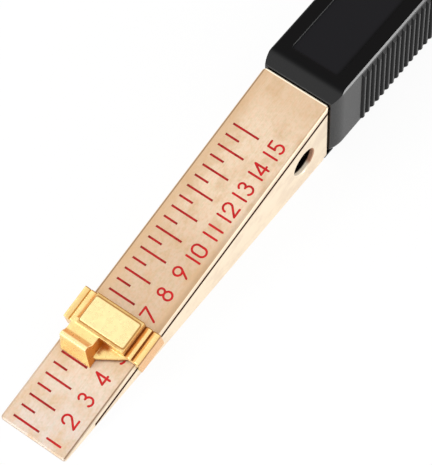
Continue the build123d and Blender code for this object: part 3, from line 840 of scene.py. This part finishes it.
def dulled_plastic(tree, look, parts, mouth, top, behind):
    """Mask of the plastic that has lost its polish: top, rim, far edge, ribs' fronts and valleys."""
    level, upward, rib_upward = (0.94, 0.995), (0.1, 0.3), (0.3, 0.5)
    forward, rib_strength, ribs_start = (-0.45, -0.1), 0.75, (mouth + 6 * MM, mouth + 6.5 * MM)
    far_side, far_start, far_strength = (6.6 * MM, 7.6 * MM), (mouth + 2 * MM, mouth + 4 * MM), 0.85
    rim_half, rim_fade = 7 * MM, 0.5 * MM
    facing = facing_parts(tree)
    flat = ramp(tree, facing["Z"], *level)
    valley = place_group(tree, "crevice", reach=1.4 * MM, low=0.12, high=0.36)
    rim = product(tree, top, band(tree, parts["Y"], -rim_half, rim_half, rim_fade), behind)
    rib_fronts = product(
        tree, ramp(tree, facing["X"], *forward, rib_strength, 0.0), fall(tree, facing["Z"], *rib_upward),
        ramp(tree, parts["X"], *ribs_start))
    far_edge = product(
        tree, ramp(tree, parts["Y"], *far_side), ramp(tree, facing["Z"], *upward),
        ramp(tree, parts["X"], *far_start, 0.0, far_strength))
    return strongest(
        tree, product(tree, flat, 1.0 - look.top_polish), product(tree, valley, 1.0 - look.valley_polish),
        product(tree, rim, 1.0 - look.rim_polish), rib_fronts, far_edge)


def steel_material(name, look, tint, roughness):
    """Bare or plated steel with fine marks."""
    material, tree, shader, place = start_material(name)
    marks = place_group(
        tree, "grain", place=place, cells_per_metre=(900, 4000, 900), detail=3.0, low=0.3, high=0.7)
    marked = mix_colours(tree, marks, tint, look.marks)
    finish_shader(tree, shader, marked, marks, (roughness, roughness + 0.1), look.mark_depth)
    shader.inputs["Metallic"].default_value = 1.0
    return material


# Mesh helpers


def select_only(piece):
    """Makes one object the only selected and active one."""
    bpy.ops.object.select_all(action="DESELECT")
    piece.select_set(True)
    bpy.context.view_layer.objects.active = piece


def dress(piece, material):
    """Gives a piece one material."""
    piece.data.materials.clear()
    piece.data.materials.append(material)


def copy_node(node, name):
    """Separate piece with a CAD node's shape, its loose triangles merged."""
    select_only(frame["nodes"][node])
    bpy.ops.object.duplicate()
    piece = bpy.context.active_object
    piece.name = piece.data.name = name
    piece.parent = None
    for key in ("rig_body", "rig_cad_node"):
        del piece[key]
    bpy.ops.object.mode_set(mode="EDIT")
    bpy.ops.mesh.select_all(action="SELECT")
    bpy.ops.mesh.remove_doubles(threshold=0.001 * MM)
    bpy.ops.mesh.customdata_custom_splitnormals_clear()
    bpy.ops.object.mode_set(mode="OBJECT")
    return piece


def apply_modifiers(piece):
    """Applies all of a piece's modifiers, in order."""
    select_only(piece)
    for modifier in list(piece.modifiers):
        bpy.ops.object.modifier_apply(modifier=modifier.name)


# Operators, one for each piece or group of like pieces


class GAUGE_OT_grind_blade(bpy.types.Operator):
    """Gives the blade its ground brass."""

    bl_idname = "gauge.grind_blade"
    bl_label = "Grind Blade"

    def execute(self, context):
        dress(frame["nodes"]["blade"], brass_material(context.scene.gauge_brass))
        return {"FINISHED"}


class GAUGE_OT_fill_scale(bpy.types.Operator):
    """Fills the engraved lines and numerals with red enamel."""

    bl_idname = "gauge.fill_scale"
    bl_label = "Fill Scale"

    def execute(self, context):
        look = context.scene.gauge_enamel
        for node, deep in (
            ("scale_lines_whole", look.line_depth), ("scale_lines_half", look.line_depth),
            ("scale_numerals", 0.0),
        ):
            dress(frame["nodes"][node], enamel_material(look, node, deep))
        return {"FINISHED"}


class GAUGE_OT_cast_cursor(bpy.types.Operator):
    """Casts the cursor, with the soft edges and uneven skin of a die casting."""

    bl_idname = "gauge.cast_cursor"
    bl_label = "Cast Cursor"

    def execute(self, context):
        look = context.scene.gauge_cursor
        casting = copy_node("slider", "cursor_casting")
        soften = casting.modifiers.new("cast_skin", "REMESH")
        soften.mode = "VOXEL"
        soften.voxel_size = look.voxel
        smooth = casting.modifiers.new("soft_edges", "SMOOTH")
        smooth.factor = 0.5
        smooth.iterations = 2
        clouds = bpy.data.textures.new("cast_ripple", "CLOUDS")
        clouds.noise_scale = look.ripple_size
        uneven = casting.modifiers.new("uneven_skin", "DISPLACE")
        uneven.texture = clouds
        uneven.texture_coords = "LOCAL"
        uneven.strength = look.ripple
        uneven.mid_level = 0.5
        apply_modifiers(casting)
        bpy.ops.object.shade_smooth()
        dress(casting, gilt_material(look))
        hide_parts("slider")
        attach(casting, "cursor")
        return {"FINISHED"}


class GAUGE_OT_mould_grip(bpy.types.Operator):
    """Gives the grip its black plastic."""

    bl_idname = "gauge.mould_grip"
    bl_label = "Mould Grip"

    def execute(self, context):
        dress(frame["nodes"]["handle"], plastic_material(context.scene.gauge_grip))
        return {"FINISHED"}


class GAUGE_OT_plate_fasteners(bpy.types.Operator):
    """Finishes the screw and the leaf spring in steel."""

    bl_idname = "gauge.plate_fasteners"
    bl_label = "Plate Fasteners"

    def execute(self, context):
        look = context.scene.gauge_steel
        plated = steel_material("plated_steel", look, look.screw, look.screw_roughness)
        tempered = steel_material("spring_steel", look, look.spring, look.spring_roughness)
        dress(frame["nodes"]["handle_screw"], plated)
        dress(frame["nodes"]["slider_spring"], tempered)
        return {"FINISHED"}


class GAUGE_OT_set_stage(bpy.types.Operator):
    """Sets the floor, the lights and the camera."""

    bl_idname = "gauge.set_stage"
    bl_label = "Set Stage"

    def execute(self, context):
        look = context.scene.gauge_stage
        bpy.ops.object.select_all(action="DESELECT")
        bpy.ops.mesh.primitive_plane_add(size=look.floor_size)
        floor = context.active_object
        floor.name = "floor"
        dress(floor, floor_material(look))
        light_world(context.scene, look)
        add_light("key_light", look.key_place, look.key_power, look.key_size, look.key_size)
        add_light("edge_light", look.edge_place, look.edge_power, look.edge_width, look.edge_height)
        add_light("front_light", look.front_place, look.front_power, look.front_size, look.front_size)
        aim_camera(context, look)
        context.scene.view_settings.view_transform = "Standard"
        return {"FINISHED"}


def floor_material(look):
    """White floor that keeps the gauge's soft shadow."""
    material, tree, shader, _ = start_material("white_floor")
    tree.nodes.remove(shader)
    paper = tree.nodes.new("ShaderNodeBsdfDiffuse")
    plug(tree, look.floor, paper.inputs["Color"])
    glow = tree.nodes.new("ShaderNodeEmission")
    path = tree.nodes.new("ShaderNodeLightPath").outputs
    seen = arithmetic(tree, "ADD", path["Is Camera Ray"], path["Is Transmission Ray"])
    seen = product(tree, seen, look.floor_glow)
    mirrored = product(tree, path["Is Glossy Ray"], look.mirrored_glow)
    glowing = arithmetic(tree, "MINIMUM", arithmetic(tree, "ADD", seen, mirrored), 1.0)
    both = tree.nodes.new("ShaderNodeMixShader")
    plug(tree, glowing, both.inputs[0])
    plug(tree, paper.outputs[0], both.inputs[1])
    plug(tree, glow.outputs[0], both.inputs[2])
    plug(tree, both.outputs[0], tree.nodes["Material Output"].inputs["Surface"])
    return material


def add_light(name, location, power, width, height):
    """Soft rectangular light that faces the gauge."""
    bpy.ops.object.light_add(type="AREA", location=location)
    light = bpy.context.active_object
    light.name = name
    light.data.shape = "RECTANGLE"
    light.data.size = width
    light.data.size_y = height
    light.data.energy = power
    light.rotation_mode = "QUATERNION"
    light.rotation_quaternion = light.location.to_track_quat("Z", "Y")
    light.visible_camera = False


def light_world(scene, look):
    """White studio with a warm card low behind the grip."""
    world = bpy.data.worlds.new("studio")
    world.use_nodes = True
    tree = world.node_tree
    scene.world = world
    direction = tree.nodes.new("ShaderNodeTexCoord").outputs["Generated"]
    nearness = tree.nodes.new("ShaderNodeVectorMath")
    nearness.operation = "DOT_PRODUCT"
    plug(tree, direction, nearness.inputs[0])
    plug(tree, Vector(look.card_direction).normalized(), nearness.inputs[1])
    carded = ramp(tree, nearness.outputs["Value"], cos(look.card_outer), cos(look.card_inner))
    glow = mix_colours(tree, carded, (1.0, 1.0, 1.0), look.card)
    plug(tree, glow, tree.nodes["Background"].inputs["Color"])
    tree.nodes["Background"].inputs["Strength"].default_value = look.sky


def aim_camera(context, look):
    """Camera at the viewing angle of a studio shot of the whole scale."""
    azimuth, elevation = look.camera_azimuth, look.camera_elevation
    back = Vector((sin(azimuth) * cos(elevation), -cos(azimuth) * cos(elevation), sin(elevation)))
    bpy.ops.object.camera_add(location=Vector(look.camera_aim) + back * look.camera_distance)
    camera = context.active_object
    camera.name = "camera"
    camera.rotation_mode = "QUATERNION"
    camera.rotation_quaternion = back.to_track_quat("Z", "Y") @ Quaternion((0, 0, 1), look.camera_roll)
    camera.data.lens = look.lens
    camera.data.clip_start = 0.01
    context.scene.camera = camera


class GAUGE_PT_panel(bpy.types.Panel):
    """Lists the steps that finish the gauge, and their looks."""

    bl_idname = "GAUGE_PT_panel"
    bl_label = "Taper Gauge"
    bl_space_type = "VIEW_3D"
    bl_region_type = "UI"
    bl_category = "Gauge"

    def draw(self, context):
        for step in STEPS:
            self.layout.operator(step.bl_idname)
        for name in LOOKS:
            box = self.layout.box()
            look = getattr(context.scene, name)
            for key in look.bl_rna.properties.keys():
                if key not in ("rna_type", "name"):
                    box.prop(look, key)


LOOKS = {
    "gauge_brass": GaugeBrassLook,
    "gauge_enamel": GaugeEnamelLook,
    "gauge_cursor": GaugeCursorLook,
    "gauge_grip": GaugeGripLook,
    "gauge_steel": GaugeSteelLook,
    "gauge_stage": GaugeStageLook,
}
STEPS = (
    GAUGE_OT_grind_blade,
    GAUGE_OT_fill_scale,
    GAUGE_OT_cast_cursor,
    GAUGE_OT_mould_grip,
    GAUGE_OT_plate_fasteners,
    GAUGE_OT_set_stage,
)


def register():
    """Registers the looks, the steps and the panel."""
    for look in LOOKS.values():
        bpy.utils.register_class(look)
    for name, look in LOOKS.items():
        setattr(bpy.types.Scene, name, PointerProperty(type=look))
    for step in STEPS:
        bpy.utils.register_class(step)
    bpy.utils.register_class(GAUGE_PT_panel)


def unregister():
    """Takes them out again, last first."""
    bpy.utils.unregister_class(GAUGE_PT_panel)
    for step in reversed(STEPS):
        bpy.utils.unregister_class(step)
    for name in LOOKS:
        delattr(bpy.types.Scene, name)
    for look in reversed(LOOKS.values()):
        bpy.utils.unregister_class(look)


def main():
    """Finishes the gauge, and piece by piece."""
    register()
    build_grain_group()
    build_crevice_group()
    build_edge_group()
    bpy.ops.gauge.grind_blade()
    bpy.ops.gauge.fill_scale()
    bpy.ops.gauge.cast_cursor()
    bpy.ops.gauge.mould_grip()
    bpy.ops.gauge.plate_fasteners()
    bpy.ops.gauge.set_stage()


if __name__ == "__main__":
    main()
